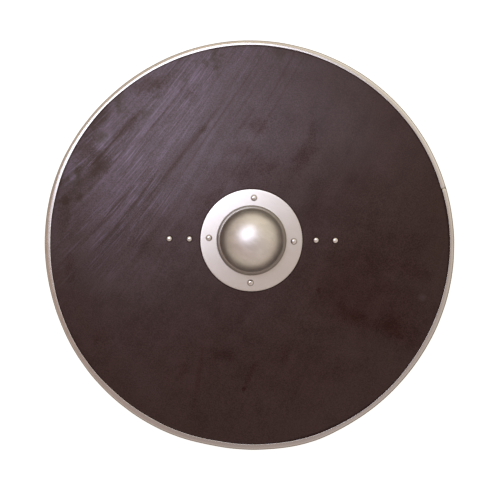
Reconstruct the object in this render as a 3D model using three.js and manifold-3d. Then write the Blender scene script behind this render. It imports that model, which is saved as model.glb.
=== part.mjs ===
// A wooden round shield, lying on its back with its boss up: one board with a fist hole, a steel channel bent
// round its edge, a steel boss, a wooden grip across the back, and eight domed rivets.
// Millimetres, +Z up. The origin is under the middle of the board, on the surface that the grip lies on.
import * as THREE from "three";
import { mergeVertices } from "three/addons/utils/BufferGeometryUtils.js";
import Module from "manifold-3d";

// Air left between two pieces that touch, and round a rivet in its hole
const SEAT_GAP = 0.3;
const HOLE_CLEARANCE = 0.4;

// Board
const SHIELD_RADIUS = 381;
const BOARD_THICKNESS = 10;
const FIST_HOLE_RADIUS = 60;

// The edge is a little out of round: each entry is a bump or a dip, its angle from +X, its height and its reach
const EDGE_BUMPS = [
  { angle: 287, height: 2.7, reach: 9 },
  { angle: 259, height: -2.0, reach: 9 },
  { angle: 161, height: 1.3, reach: 14 },
  { angle: 126, height: -1.0, reach: 16 },
  { angle: 196, height: -1.1, reach: 14 },
  { angle: 322, height: -1.1, reach: 14 },
];

// Rim: a steel channel with a rounded nose and a flat lap on each face of the board
const RIM_STEEL = 1;
const RIM_NOSE_DEPTH = 5.2;
const RIM_LAP = 4.6;
const RIM_LAP_DRIFT = 1; // the channel was bent off its middle, so the front lap narrows by this along it
const RIM_JOINT_ANGLE = 16.3;
const RIM_JOINT_GAP = 0.6;

// Boss: a flange and a hollow dome on a steep wall, with its centre off the board's, as it was fitted by hand
const BOSS_CENTRE = new THREE.Vector2(3.6, 9.0);
const BOSS_STEEL = 1.6;
const FLANGE_RADIUS = 94.5;
const CROWN_HEIGHT = 63;
const DOME_RADIUS = 65.6; // of the sphere that the dome is part of
const SHOULDER_TILT = 62.5; // where the sphere ends, as the angle of its surface from level
const SHOULDER_RADIUS = 10;
const WALL_TILT = 79.5;
const FOOT_FILLET = 1.8;

// Boss rivets, by their angle from +X on one pitch circle
const BOSS_RIVET_PITCH_RADIUS = 78.7;
const BOSS_RIVET_ANGLES = { top: 86.5, left: 176.8, bottom: 268.8, right: 358.5 };

// Grip: a batten that is thick behind the fist hole and thinner where it is riveted
const GRIP_CENTRE = new THREE.Vector2(1.65, 1.3); // from the boss centre
const GRIP_TURN = -0.6;
const GRIP_LENGTH = 340;
const GRIP_WIDTH = 34;
const GRIP_THICKNESS = 20;
const GRIP_END_THICKNESS = 12;
const GRIP_HAND_LENGTH = 112;
const GRIP_RAMP_LENGTH = 16;
const GRIP_ROUNDING = 3.5;
const GRIP_CORNER_RADIUS = 12;
const GRIP_RIVETS = { left_outer: -153.9, left_inner: -116.6, right_inner: 118.2, right_outer: 153.9 };

// Rivets
const BOSS_RIVET_HEAD_RADIUS = 5.4;
const GRIP_RIVET_HEAD_RADIUS = 5.0;
const RIVET_HEAD_HEIGHT = 3;
const RIVET_SHANK_RADIUS = 2.4;
const RIVET_TAIL_RADIUS = 4;
const RIVET_TAIL_HEIGHT = 2;

// Steps of the curves
const RING_SEGMENTS = 112;
const NOSE_STEPS = 4;
const BOSS_SEGMENTS = 56;
const DOME_STEPS = 6;
const SHOULDER_STEPS = 2;
const FILLET_STEPS = 2;
const FIST_HOLE_SEGMENTS = 48;
const RIVET_SEGMENTS = 12;
const RIVET_DOME_STEPS = 3;
const RAMP_STEPS = 5;

// Heights, from the surface that the grip lies on
const GRIP_END_UNDERSIDE = GRIP_THICKNESS - GRIP_END_THICKNESS;
const BOARD_BACK = GRIP_THICKNESS + SEAT_GAP;
const BOARD_MIDDLE = BOARD_BACK + BOARD_THICKNESS / 2;
const BOARD_FRONT = BOARD_BACK + BOARD_THICKNESS;
const FLANGE_BACK = BOARD_FRONT + SEAT_GAP;
const FLANGE_FRONT = FLANGE_BACK + BOSS_STEEL;

const DEGREE = Math.PI / 180;
const MERGE_DISTANCE = 1e-3;
const CUTTER_LENGTH = 100;

const wasm = await Module();
wasm.setup();

// A closed geometry as a solid that can be joined and cut
function solid(geometry) {
  geometry.deleteAttribute("normal");
  geometry.deleteAttribute("uv");
  const merged = mergeVertices(geometry, MERGE_DISTANCE);
  const corners = merged.index.array;
  const kept = [];
  for (let i = 0; i < corners.length; i += 3) {
    const [a, b, c] = corners.slice(i, i + 3);
    if (a !== b && b !== c && c !== a) kept.push(a, b, c);
  }
  const mesh = new wasm.Mesh({
    numProp: 3,
    vertProperties: merged.attributes.position.array,
    triVerts: new Uint32Array(kept),
  });
  return new wasm.Manifold(mesh);
}

// A solid as a geometry again
function surface(body) {
  const mesh = body.getMesh();
  const geometry = new THREE.BufferGeometry();
  geometry.setAttribute("position", new THREE.BufferAttribute(mesh.vertProperties, 3));
  geometry.setIndex(new THREE.BufferAttribute(mesh.triVerts, 1));
  geometry.computeVertexNormals();
  return geometry;
}

// Points along an ellipse's arc, between two angles in degrees
function arc(centreX, centreY, radiusX, radiusY, from, to, steps) {
  return Array.from({ length: steps + 1 }, (_, i) => {
    const angle = (from + ((to - from) * i) / steps) * DEGREE;
    return new THREE.Vector2(centreX + radiusX * Math.cos(angle), centreY + radiusY * Math.sin(angle));
  });
}

// A profile of (radius, height) points turned about +Z, from one angle and through a sweep, both in degrees
function turned(profile, segments, from = 0, sweep = 360) {
  const start = (from + 90) * DEGREE;
  return new THREE.LatheGeometry(profile, segments, start, sweep * DEGREE).rotateX(90 * DEGREE);
}

// An open ring: the profile turned through a sweep short of a full turn, with a flat face at each end
function openRing(profile, segments, from, sweep) {
  const ring = turned(profile, segments, from, sweep);
  const endFaces = THREE.ShapeUtils.triangulateShape(profile.slice(0, -1), []);
  const farEnd = segments * profile.length;
  const nearFaces = endFaces.flat();
  const farFaces = endFaces.flatMap(([a, b, c]) => [farEnd + c, farEnd + b, farEnd + a]);
  ring.setIndex([...ring.index.array, ...nearFaces, ...farFaces]);
  return ring;
}

// How far the shield's edge stands out from the circle at an angle
function edgeBump(angle) {
  return EDGE_BUMPS.reduce((sum, bump) => {
    const away = ((angle - bump.angle + 540) % 360) - 180;
    return sum + bump.height * Math.exp(-((away / bump.reach) ** 2));
  }, 0);
}

// Moves each point near the edge in or out by what a function gives for its angle, radius and height
function moveEdge(geometry, shift) {
  const points = geometry.attributes.position;
  for (let i = 0; i < points.count; i++) {
    const x = points.getX(i);
    const y = points.getY(i);
    const radius = Math.hypot(x, y);
    if (radius < SHIELD_RADIUS / 2) continue;
    const angle = (Math.atan2(y, x) / DEGREE + 360) % 360;
    const scale = 1 + shift(angle, radius, points.getZ(i)) / radius;
    points.setXY(i, x * scale, y * scale);
  }
  return geometry;
}

// A round hole along Z at each place
function drill(body, places, radius, segments = RIVET_SEGMENTS) {
  return places.reduce((rest, place) => {
    const cutter = new THREE.CylinderGeometry(radius, radius, CUTTER_LENGTH, segments);
    cutter.rotateX(90 * DEGREE).translate(place.x, place.y, 0);
    return rest.subtract(solid(cutter));
  }, body);
}

// Rivet places from the boss centre; the grip's own lie along it
const bossRivets = Object.entries(BOSS_RIVET_ANGLES).map(([name, angle]) => ({
  name,
  place: new THREE.Vector2(BOSS_RIVET_PITCH_RADIUS, 0).rotateAround(new THREE.Vector2(), angle * DEGREE),
}));
const gripRivets = Object.entries(GRIP_RIVETS).map(([name, along]) => ({
  name,
  place: new THREE.Vector2(along, 0).rotateAround(new THREE.Vector2(), GRIP_TURN * DEGREE).add(GRIP_CENTRE),
}));
const bossPlaces = bossRivets.map((rivet) => rivet.place);
const gripPlaces = gripRivets.map((rivet) => rivet.place);

// The side rivets of the boss are long enough to hold the grip too
function goesThroughGrip(place) {
  return Math.abs(place.y - GRIP_CENTRE.y) < GRIP_WIDTH / 2;
}

// Board: a disc with a rounded edge, the fist hole and the rivet holes
function boardGeometry() {
  const half = BOARD_THICKNESS / 2;
  const edgeDepth = RIM_NOSE_DEPTH - RIM_STEEL - SEAT_GAP;
  const profile = [
    new THREE.Vector2(0, -half),
    ...arc(SHIELD_RADIUS - RIM_NOSE_DEPTH, 0, edgeDepth, half, -90, 90, NOSE_STEPS),
    new THREE.Vector2(0, half),
  ];
  const disc = solid(moveEdge(turned(profile, RING_SEGMENTS, RIM_JOINT_ANGLE), edgeBump));
  const open = drill(disc, [BOSS_CENTRE], FIST_HOLE_RADIUS, FIST_HOLE_SEGMENTS);
  const places = [...bossPlaces, ...gripPlaces].map((place) => place.clone().add(BOSS_CENTRE));
  return surface(drill(open, places, RIVET_SHANK_RADIUS + HOLE_CLEARANCE));
}

// Rim: an open channel that follows the edge all the way round, to a butt joint with a narrow gap
function rimGeometry() {
  const outerHalf = BOARD_THICKNESS / 2 + SEAT_GAP + RIM_STEEL;
  const innerHalf = outerHalf - RIM_STEEL;
  const noseStart = SHIELD_RADIUS - RIM_NOSE_DEPTH;
  const lapEdge = noseStart - RIM_LAP;
  const profile = [
    new THREE.Vector2(lapEdge, -outerHalf),
    ...arc(noseStart, 0, RIM_NOSE_DEPTH, outerHalf, -90, 90, NOSE_STEPS),
    new THREE.Vector2(lapEdge, outerHalf),
    new THREE.Vector2(lapEdge, innerHalf),
    ...arc(noseStart, 0, RIM_NOSE_DEPTH - RIM_STEEL, innerHalf, 90, -90, NOSE_STEPS),
    new THREE.Vector2(lapEdge, -innerHalf),
    new THREE.Vector2(lapEdge, -outerHalf),
  ];
  const halfGap = RIM_JOINT_GAP / 2 / SHIELD_RADIUS / DEGREE;
  const from = RIM_JOINT_ANGLE + halfGap;
  const sweep = 360 - 2 * halfGap;
  const ring = openRing(profile, RING_SEGMENTS, from, sweep);

  function lapShift(angle, radius, height) {
    if (radius > lapEdge + MERGE_DISTANCE) return edgeBump(angle);
    const along = ((angle - RIM_JOINT_ANGLE + 360) % 360) / 360;
    return edgeBump(angle) + Math.sign(height) * RIM_LAP_DRIFT * (along - 0.5);
  }
  return surface(solid(moveEdge(ring, lapShift)));
}

// The boss's section from its crown to its foot on the flange, at a depth into the steel: part of a sphere, a
// tight shoulder, a straight wall and a fillet, each tangent to the next
function wallProfile(depth) {
  const shoulder = new THREE.Vector2(0, DOME_RADIUS - SHOULDER_RADIUS)
    .rotateAround(new THREE.Vector2(), -SHOULDER_TILT * DEGREE)
    .add(new THREE.Vector2(0, CROWN_HEIGHT - DOME_RADIUS));
  const tilt = WALL_TILT * DEGREE;
  const wallTop = shoulder.y + SHOULDER_RADIUS * Math.cos(tilt);
  const wallFoot = FOOT_FILLET * (1 - Math.cos(tilt));
  const reach = (SHOULDER_RADIUS + FOOT_FILLET) * Math.sin(tilt) + (wallTop - wallFoot) / Math.tan(tilt);
  const sphere = DOME_RADIUS - depth;
  const bend = SHOULDER_RADIUS - depth;
  const fillet = FOOT_FILLET + depth;
  return [
    ...arc(0, CROWN_HEIGHT - DOME_RADIUS, sphere, sphere, 90, 90 - SHOULDER_TILT, DOME_STEPS),
    ...arc(shoulder.x, shoulder.y, bend, bend, 90 - SHOULDER_TILT, 90 - WALL_TILT, SHOULDER_STEPS).slice(1),
    ...arc(shoulder.x + reach, FOOT_FILLET, fillet, fillet, 270 - WALL_TILT, 270, FILLET_STEPS),
  ];
}

// Boss: the wall and the flange, of one thickness of steel; z = 0 is the flange's front
function bossGeometry() {
  const profile = [
    ...wallProfile(BOSS_STEEL),
    new THREE.Vector2(FLANGE_RADIUS, -BOSS_STEEL),
    new THREE.Vector2(FLANGE_RADIUS, 0),
    ...wallProfile(0).reverse(),
  ];
  const shell = solid(turned(profile, BOSS_SEGMENTS));
  return surface(drill(shell, bossPlaces, RIVET_SHANK_RADIUS + HOLE_CLEARANCE));
}

// Grip: its side view carried across its width with rounded edges, kept within its plan; z = 0 is its underside
function gripGeometry() {
  const halfHand = GRIP_HAND_LENGTH / 2;
  const rampEnd = halfHand + GRIP_RAMP_LENGTH;
  const sideEnd = GRIP_LENGTH / 2 + GRIP_ROUNDING;
  const sideTop = GRIP_THICKNESS + GRIP_ROUNDING;
  const side = new THREE.Shape();
  side.moveTo(-sideEnd, GRIP_END_UNDERSIDE);
  side.lineTo(-rampEnd, GRIP_END_UNDERSIDE);
  const middle = (halfHand + rampEnd) / 2;
  side.bezierCurveTo(-middle, GRIP_END_UNDERSIDE, -middle, 0, -halfHand, 0);
  side.lineTo(halfHand, 0);
  side.bezierCurveTo(middle, 0, middle, GRIP_END_UNDERSIDE, rampEnd, GRIP_END_UNDERSIDE);
  side.lineTo(sideEnd, GRIP_END_UNDERSIDE);
  side.lineTo(sideEnd, sideTop);
  side.lineTo(-sideEnd, sideTop);
  const batten = new THREE.ExtrudeGeometry(side, {
    depth: GRIP_WIDTH - 2 * GRIP_ROUNDING,
    curveSegments: RAMP_STEPS,
    bevelThickness: GRIP_ROUNDING,
    bevelSize: GRIP_ROUNDING,
    bevelOffset: -GRIP_ROUNDING,
    bevelSegments: 3,
  });
  batten.translate(0, 0, GRIP_ROUNDING - GRIP_WIDTH / 2).rotateX(90 * DEGREE);

  const cornerX = GRIP_LENGTH / 2 - GRIP_CORNER_RADIUS;
  const cornerY = GRIP_WIDTH / 2 - GRIP_CORNER_RADIUS;
  const plan = new THREE.Shape([
    ...arc(cornerX, cornerY, GRIP_CORNER_RADIUS, GRIP_CORNER_RADIUS, 0, 90, RAMP_STEPS),
    ...arc(-cornerX, cornerY, GRIP_CORNER_RADIUS, GRIP_CORNER_RADIUS, 90, 180, RAMP_STEPS),
    ...arc(-cornerX, -cornerY, GRIP_CORNER_RADIUS, GRIP_CORNER_RADIUS, 180, 270, RAMP_STEPS),
    ...arc(cornerX, -cornerY, GRIP_CORNER_RADIUS, GRIP_CORNER_RADIUS, 270, 360, RAMP_STEPS),
  ]);
  const block = new THREE.ExtrudeGeometry(plan, { depth: GRIP_THICKNESS, bevelEnabled: false });
  const shaped = solid(batten).intersect(solid(block));

  const origin = new THREE.Vector2();
  const places = [...bossPlaces.filter(goesThroughGrip), ...gripPlaces].map((place) =>
    place.clone().sub(GRIP_CENTRE).rotateAround(origin, -GRIP_TURN * DEGREE),
  );
  return surface(drill(shaped, places, RIVET_SHANK_RADIUS + HOLE_CLEARANCE));
}

// Rivet: a domed head on z = 0, a shank through what it holds, and a low peened tail behind
function rivetGeometry(headRadius, heldThickness) {
  const length = heldThickness + 2 * SEAT_GAP;
  const profile = [
    ...arc(0, -length, RIVET_TAIL_RADIUS, RIVET_TAIL_HEIGHT, -90, 0, RIVET_DOME_STEPS),
    new THREE.Vector2(RIVET_SHANK_RADIUS, -length),
    new THREE.Vector2(RIVET_SHANK_RADIUS, 0),
    ...arc(0, 0, headRadius, RIVET_HEAD_HEIGHT, 0, 90, RIVET_DOME_STEPS),
  ];
  return surface(solid(turned(profile, RIVET_SEGMENTS)));
}

// Materials
const stainedWood = new THREE.MeshStandardMaterial({ color: 0x4b3637, roughness: 0.42, metalness: 0 });
const gripWood = new THREE.MeshStandardMaterial({ color: 0x5a4034, roughness: 0.6, metalness: 0 });
const rimSteel = new THREE.MeshStandardMaterial({ color: 0xc9c2b6, roughness: 0.3, metalness: 1 });
const bossSteel = new THREE.MeshStandardMaterial({ color: 0xcfc8ba, roughness: 0.35, metalness: 1 });
const rivetSteel = new THREE.MeshStandardMaterial({ color: 0xc4bcad, roughness: 0.35, metalness: 1 });

function named(name, geometry, material) {
  const mesh = new THREE.Mesh(geometry, material);
  mesh.name = name;
  return mesh;
}

// The shield: the board and the rim on the origin, and what is riveted to them round the boss centre
const shield = new THREE.Group();

const board = named("board", boardGeometry(), stainedWood);
const rim = named("rim", rimGeometry(), rimSteel);
board.position.z = BOARD_MIDDLE;
rim.position.z = BOARD_MIDDLE;
shield.add(board, rim);

const fittings = new THREE.Group();
fittings.position.set(BOSS_CENTRE.x, BOSS_CENTRE.y, 0);
shield.add(fittings);

const boss = named("boss", bossGeometry(), bossSteel);
boss.position.z = FLANGE_FRONT;
const grip = named("grip", gripGeometry(), gripWood);
grip.position.set(GRIP_CENTRE.x, GRIP_CENTRE.y, 0);
grip.rotation.z = GRIP_TURN * DEGREE;
fittings.add(boss, grip);

for (const { name, place } of bossRivets) {
  const back = goesThroughGrip(place) ? GRIP_END_UNDERSIDE : BOARD_BACK;
  const geometry = rivetGeometry(BOSS_RIVET_HEAD_RADIUS, FLANGE_FRONT - back);
  const rivet = named(`boss_rivet_${name}`, geometry, rivetSteel);
  rivet.position.set(place.x, place.y, FLANGE_FRONT + SEAT_GAP);
  fittings.add(rivet);
}
for (const { name, place } of gripRivets) {
  const geometry = rivetGeometry(GRIP_RIVET_HEAD_RADIUS, BOARD_FRONT - GRIP_END_UNDERSIDE);
  const rivet = named(`grip_rivet_${name}`, geometry, rivetSteel);
  rivet.position.set(place.x, place.y, BOARD_FRONT + SEAT_GAP);
  fittings.add(rivet);
}

export default shield;
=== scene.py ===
# The looks of a wooden round shield, lying on its back with its boss up, seen from straight above.
# Metres, +Z up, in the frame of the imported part. Every piece is a surface worked out on a grid.
import math

import bmesh
import bpy
import numpy as np
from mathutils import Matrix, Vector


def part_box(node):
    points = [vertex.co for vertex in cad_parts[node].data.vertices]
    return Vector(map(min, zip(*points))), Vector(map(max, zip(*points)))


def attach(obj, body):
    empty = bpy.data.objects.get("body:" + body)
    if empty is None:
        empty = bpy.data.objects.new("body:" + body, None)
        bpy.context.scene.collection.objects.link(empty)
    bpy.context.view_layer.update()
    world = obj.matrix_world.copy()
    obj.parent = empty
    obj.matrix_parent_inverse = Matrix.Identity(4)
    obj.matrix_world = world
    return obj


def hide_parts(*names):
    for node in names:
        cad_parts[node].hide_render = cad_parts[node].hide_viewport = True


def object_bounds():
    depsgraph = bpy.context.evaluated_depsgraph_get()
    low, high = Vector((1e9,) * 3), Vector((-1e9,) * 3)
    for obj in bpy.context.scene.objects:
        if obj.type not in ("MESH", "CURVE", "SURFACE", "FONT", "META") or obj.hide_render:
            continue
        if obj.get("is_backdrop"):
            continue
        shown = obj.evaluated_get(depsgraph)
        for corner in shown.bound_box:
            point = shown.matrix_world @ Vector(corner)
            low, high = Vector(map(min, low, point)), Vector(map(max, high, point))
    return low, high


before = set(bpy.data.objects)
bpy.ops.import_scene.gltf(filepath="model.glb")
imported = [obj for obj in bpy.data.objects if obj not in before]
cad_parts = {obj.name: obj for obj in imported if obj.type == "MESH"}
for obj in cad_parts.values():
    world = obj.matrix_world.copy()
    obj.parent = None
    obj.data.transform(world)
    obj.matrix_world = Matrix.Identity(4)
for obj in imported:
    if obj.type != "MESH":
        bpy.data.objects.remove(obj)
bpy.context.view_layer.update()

MM = 0.001

# In a mesh, points nearer than the first become one, and edges shorter than the second are taken out
SAME_POINT = 1e-7
SLIVER = 1e-8

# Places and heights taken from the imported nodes
board_low, board_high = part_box("board")
rim_low, rim_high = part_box("rim")
boss_low, boss_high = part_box("boss")
grip_low, grip_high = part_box("grip")
BOSS_X = (boss_low.x + boss_high.x) / 2
BOSS_Y = (boss_low.y + boss_high.y) / 2
GRIP_X = (grip_low.x + grip_high.x) / 2
GRIP_Y = (grip_low.y + grip_high.y) / 2
BOARD_BACK = board_low.z
BOARD_FRONT = board_high.z

# The rivets' places in plan, and the heights that their heads sit at, to a hundredth of a millimetre
RIVET_HEAD_HEIGHT = 3 * MM
rivet_nodes = sorted(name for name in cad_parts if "_rivet_" in name)
boss_rivet_places = []
grip_rivet_places = []
rivet_seats = {}
for rivet_node in rivet_nodes:
    low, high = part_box(rivet_node)
    place = ((low.x + high.x) / 2, (low.y + high.y) / 2)
    rivet_seats.setdefault(round(high.z - RIVET_HEAD_HEIGHT, 5), []).append(place)
    if rivet_node.startswith("boss_"):
        boss_rivet_places.append(place)
    else:
        grip_rivet_places.append(place)

# Driving dimensions that the nodes' boxes don't give
SHIELD_RADIUS = 381 * MM
RIM_NOSE_DEPTH = 5.2 * MM
RIM_STEEL = 1 * MM
RIM_LAP = 4.6 * MM
RIM_LAP_DRIFT = 1 * MM
RIM_CROWN_DEPTH = 9 * MM
RIM_NOSE_WEAR = 0.2 * MM
RIM_JOINT_ANGLE = 16.3
RIM_JOINT_GAP = 0.25 * MM
SEAT_GAP = 0.3 * MM
FIST_HOLE_RADIUS = 60 * MM
FLANGE_RADIUS = (boss_high.x - boss_low.x) / 2
BOSS_STEEL = 1.6 * MM
CROWN_HEIGHT = boss_high.z - boss_low.z - BOSS_STEEL
DOME_RADIUS = 65.6 * MM
SHOULDER_TILT = 62.5
SHOULDER_RADIUS = 10 * MM
WALL_TILT = 79.5
FOOT_FILLET = 1.8 * MM
DOME_SHIFT = (0.6 * MM, -0.2 * MM)
GRIP_TURN = -0.6
GRIP_LENGTH = 340 * MM
GRIP_WIDTH = 34 * MM
GRIP_HAND_LENGTH = 112 * MM
GRIP_RAMP_LENGTH = 16 * MM
GRIP_END_THICKNESS = 12 * MM
GRIP_CORNER_RADIUS = 12 * MM
GRIP_LOW_ROUND = 3.5 * MM
GRIP_TOP_ROUND = 0.8 * MM
BOARD_CHAMFER = 0.8 * MM
FRONT_SINK = 0.1 * MM
RIVET_HEAD_EDGE = 0.25 * MM
RIVET_SHANK_RADIUS = 2.4 * MM
RIVET_TAIL_RADIUS = 4 * MM
RIVET_TAIL_HEIGHT = 2 * MM
RIVET_HAMMERING = 0.10 * MM
RIVET_HAMMER_MARK = 7 * MM
FIRST_RIVET_SEED = 100

# Bumps and dips of the edge: the angle in degrees, the height, and the reach to each side in degrees
EDGE_BUMPS = (
    (287, 2.7 * MM, 9),
    (259, -2.0 * MM, 9),
    (161, 1.3 * MM, 14),
    (126, -1.0 * MM, 16),
    (196, -1.1 * MM, 14),
    (322, -1.1 * MM, 14),
)

# How far the front lap's inner edge lies outside its nominal circle, at even steps from one side of the rim's
# joint round to the other, in mm
FRONT_LAP_EDGE = (
    -0.7, 0.0, -0.7, -1.0, -0.3, 0.1, -0.4, -0.3, 0.2, -0.8, -1.9, -1.9, -0.2,
    -0.2, -1.8, -2.4, -1.4, -1.7, -1.9, 0.4, -0.1, -1.3, -0.9, 0.7, 0.5,
)

# Where the unevenness of the board's front begins past the boss and where it ends before the rim
ROLL_PAST_BOSS = (96 * MM, 125 * MM)
ROLL_BEFORE_RIM = (340 * MM, 368 * MM)

# The unevenness of each surface: its height and its longest wavelength in metres, and its random seed
UNEVENNESS = {
    "front roll": (0.22 * MM, 0.26, 5),
    "front ripple": (0.05 * MM, 0.07, 9),
    "lap waver": (0.15 * MM, 0.1, 21),
    "rim dents": (0.12 * MM, 0.08, 33),
    "dome": (0.08 * MM, 0.06, 41),
    "grip wear": (0.25 * MM, 0.05, 61),
}

# The photograph's framing: the shield's middle and its mean radius, in pixels
PICTURE_SIDE = 500
SHIELD_MIDDLE_PX = (249.45, 245.15)
SHIELD_RADIUS_PX = 205.5
CAMERA_DISTANCE = 1.5
SENSOR_WIDTH = 36


# Small helpers for the surfaces


def smooth_step(low, high, values):
    """0 below low, 1 above high, and a smooth rise between."""
    t = np.clip((values - low) / (high - low), 0, 1)
    return t * t * (3 - 2 * t)


def arc(centre_x, centre_y, radius_x, radius_y, start, end, steps):
    """Points on an ellipse from one angle to another in degrees: centre plus radius times cosine and sine."""
    angle = np.radians(np.linspace(start, end, steps + 1))
    return np.stack([centre_x + radius_x * np.cos(angle), centre_y + radius_y * np.sin(angle)], -1)


def line(start, end, steps):
    """Evenly spaced points from start to end, without the end point."""
    share = np.linspace(0, 1, steps, endpoint=False)[:, None]
    return np.asarray(start) * (1 - share) + np.asarray(end) * share


def waves(x, y, longest, seed, count=12):
    """A rolling height between about -1 and 1: a sum of sine waves in random directions, from the longest
    wavelength down to a third of it, each weighted by its length."""
    chance = np.random.default_rng(seed)
    total = np.zeros_like(x)
    for _ in range(count):
        length = longest * chance.uniform(0.33, 1)
        heading, phase = chance.uniform(0, 2 * math.pi, 2)
        along = x * math.cos(heading) + y * math.sin(heading)
        total += length / longest * np.sin(2 * math.pi * along / length + phase)
    return total / math.sqrt(count)


def uneven(surface, x, y):
    """The unevenness of a surface at each place: rolling waves of that surface's own height and length."""
    height, longest, seed = UNEVENNESS[surface]
    return height * waves(x, y, longest, seed)


def edge_bump(angle):
    """How far the edge stands out from a circle at each angle in degrees: a sum of bell-shaped bumps."""
    total = np.zeros_like(angle)
    for middle, height, reach in EDGE_BUMPS:
        away = (angle - middle + 540) % 360 - 180
        total += height * np.exp(-((away / reach) ** 2))
    return total


def make_piece(name, points, material, wrap_rows=False, wrap_columns=True, cap_ends=False):
    """A mesh over a grid of points. Neighbouring rows and columns are joined by quads, and either way wraps
    round on itself where asked. Points that coincide, as at a pole, become one, and the first and last column
    of a grid that doesn't wrap are closed with flat faces where cap_ends asks. All but these shade smooth."""
    rows, columns = points.shape[:2]
    row, column = np.meshgrid(
        np.arange(rows if wrap_rows else rows - 1),
        np.arange(columns if wrap_columns else columns - 1),
        indexing="ij",
    )
    next_row = (row + 1) % rows
    next_column = (column + 1) % columns
    corners = (
        row * columns + column,
        row * columns + next_column,
        next_row * columns + next_column,
        next_row * columns + column,
    )
    faces = np.stack(corners, -1).reshape(-1, 4).tolist()
    if cap_ends:
        first_column = np.arange(rows) * columns
        faces += [first_column.tolist(), (first_column + columns - 1)[::-1].tolist()]
    mesh = bpy.data.meshes.new(name)
    mesh.from_pydata(points.reshape(-1, 3).tolist(), [], faces)
    tidy = bmesh.new()
    tidy.from_mesh(mesh)
    bmesh.ops.remove_doubles(tidy, verts=tidy.verts, dist=SAME_POINT)
    bmesh.ops.dissolve_degenerate(tidy, edges=tidy.edges, dist=SLIVER)
    bmesh.ops.recalc_face_normals(tidy, faces=tidy.faces)
    for face in tidy.faces:
        face.smooth = len(face.verts) <= len(corners)
    tidy.to_mesh(mesh)
    tidy.free()
    mesh.materials.append(material)
    piece = bpy.data.objects.new(name, mesh)
    bpy.context.scene.collection.objects.link(piece)
    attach(piece, "root")
    return piece


def turned(profile, columns, centre_x, centre_y):
    """A profile of (radius, height) carried round a vertical axis: each point's place is the axis plus its
    radius times cosine and sine of the column's angle, at its height."""
    angle = np.linspace(0, 2 * math.pi, columns, endpoint=False)
    radius = profile[:, 0:1]
    height = np.broadcast_to(profile[:, 1:2], (len(profile), columns))
    return np.stack([centre_x + radius * np.cos(angle), centre_y + radius * np.sin(angle), height], -1)


# Shader maths


class Link:
    """An output in a material's node tree. Arithmetic on it adds Math nodes, and node() adds any other."""

    def __init__(self, tree, socket=None):
        self.tree = tree
        self.socket = socket

    def node(self, kind, inputs=None, settings=None, output=0):
        """Adds a node: its settings are set first, then its sockets get values or links."""
        made = self.tree.nodes.new(kind)
        for key, value in (settings or {}).items():
            setattr(made, key, value)
        for key, value in (inputs or {}).items():
            if isinstance(value, Link):
                self.tree.links.new(value.socket, made.inputs[key])
            else:
                made.inputs[key].default_value = value
        return Link(self.tree, made.outputs[output])

    def math(self, operation, first, second=0.0):
        """A Math node between two links or constants."""
        return self.node("ShaderNodeMath", {0: first, 1: second}, {"operation": operation})

    def __add__(self, other):
        return self.math("ADD", self, other)

    def __radd__(self, other):
        return self.math("ADD", other, self)

    def __sub__(self, other):
        return self.math("SUBTRACT", self, other)

    def __rsub__(self, other):
        return self.math("SUBTRACT", other, self)

    def __mul__(self, other):
        return self.math("MULTIPLY", self, other)

    def __rmul__(self, other):
        return self.math("MULTIPLY", other, self)

    def coordinate(self, axis):
        """One coordinate of these: X, Y or Z."""
        return self.node("ShaderNodeSeparateXYZ", {0: self}, output=axis)

    def between(self, low, high):
        """0 where this is below low, 1 above high, smooth between."""
        settings = {"interpolation_type": "SMOOTHSTEP"}
        inputs = {"Value": self, "From Min": low, "From Max": high}
        return self.node("ShaderNodeMapRange", inputs, settings)

    def blend(self, low_colour, high_colour):
        """A colour that goes from one to the other as this goes from 0 to 1."""
        low = low_colour if isinstance(low_colour, Link) else (*low_colour, 1)
        high = high_colour if isinstance(high_colour, Link) else (*high_colour, 1)
        settings = {"data_type": "RGBA", "clamp_factor": True}
        return self.node("ShaderNodeMix", {0: self, 6: low, 7: high}, settings, output=2)

    def mapped(self, turn=0, stretch=(1, 1, 1), centre=(0, 0, 0)):
        """These coordinates seen from a centre, along axes turned by degrees about Z and stretched."""
        rotation = (0, 0, math.radians(turn))
        inputs = {"Vector": self, "Location": centre, "Rotation": rotation, "Scale": stretch}
        return self.node("ShaderNodeMapping", inputs, {"vector_type": "TEXTURE"})

    def noise(self, scale, detail=3.0, roughness=0.5):
        """Noise at these coordinates, with about that many lumps a metre."""
        inputs = {"Vector": self, "Scale": scale, "Detail": detail, "Roughness": roughness}
        return self.node("ShaderNodeTexNoise", inputs)


def new_material(name):
    """An empty material, with its Principled shader and the Object coordinates."""
    material = bpy.data.materials.new(name)
    material.use_nodes = True
    tree = material.node_tree
    shader = tree.nodes["Principled BSDF"]
    start = Link(tree)
    place = start.node("ShaderNodeTexCoord", output="Object")
    return material, shader, place


def connect(shader, **sockets):
    """Links or sets the shader's sockets; an underscore stands for a space in a socket's name."""
    for key, value in sockets.items():
        socket = shader.inputs[key.replace("_", " ")]
        if isinstance(value, Link):
            value.tree.links.new(value.socket, socket)
        else:
            socket.default_value = value


def bump(height, distance):
    """A normal from a height between 0 and 1, which stands for that distance in metres."""
    return height.node("ShaderNodeBump", {"Height": height, "Distance": distance, "Strength": 1.0})


# Materials

# The varnish's brush strokes: their turn in degrees, how much they fan out, as a share of their spacing for
# each square metre, and how far they sway, in metres
BRUSH_ANGLE = 60
BRUSH_FAN = 2.6
BRUSH_SWAY = 0.012

# The length and the width in metres of the lumps in each layer of strokes, and where the dark lines' noise
# starts
BAND_SIZE = (0.55, 0.038)
STREAK_SIZE = (0.16, 0.0070)
WISP_SIZE = (0.05, 0.0022)
DARK_LINE_SIZE = (0.31, 0.0105)
DARK_LINE_START = (0.7, 0.4, 0)

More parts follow.
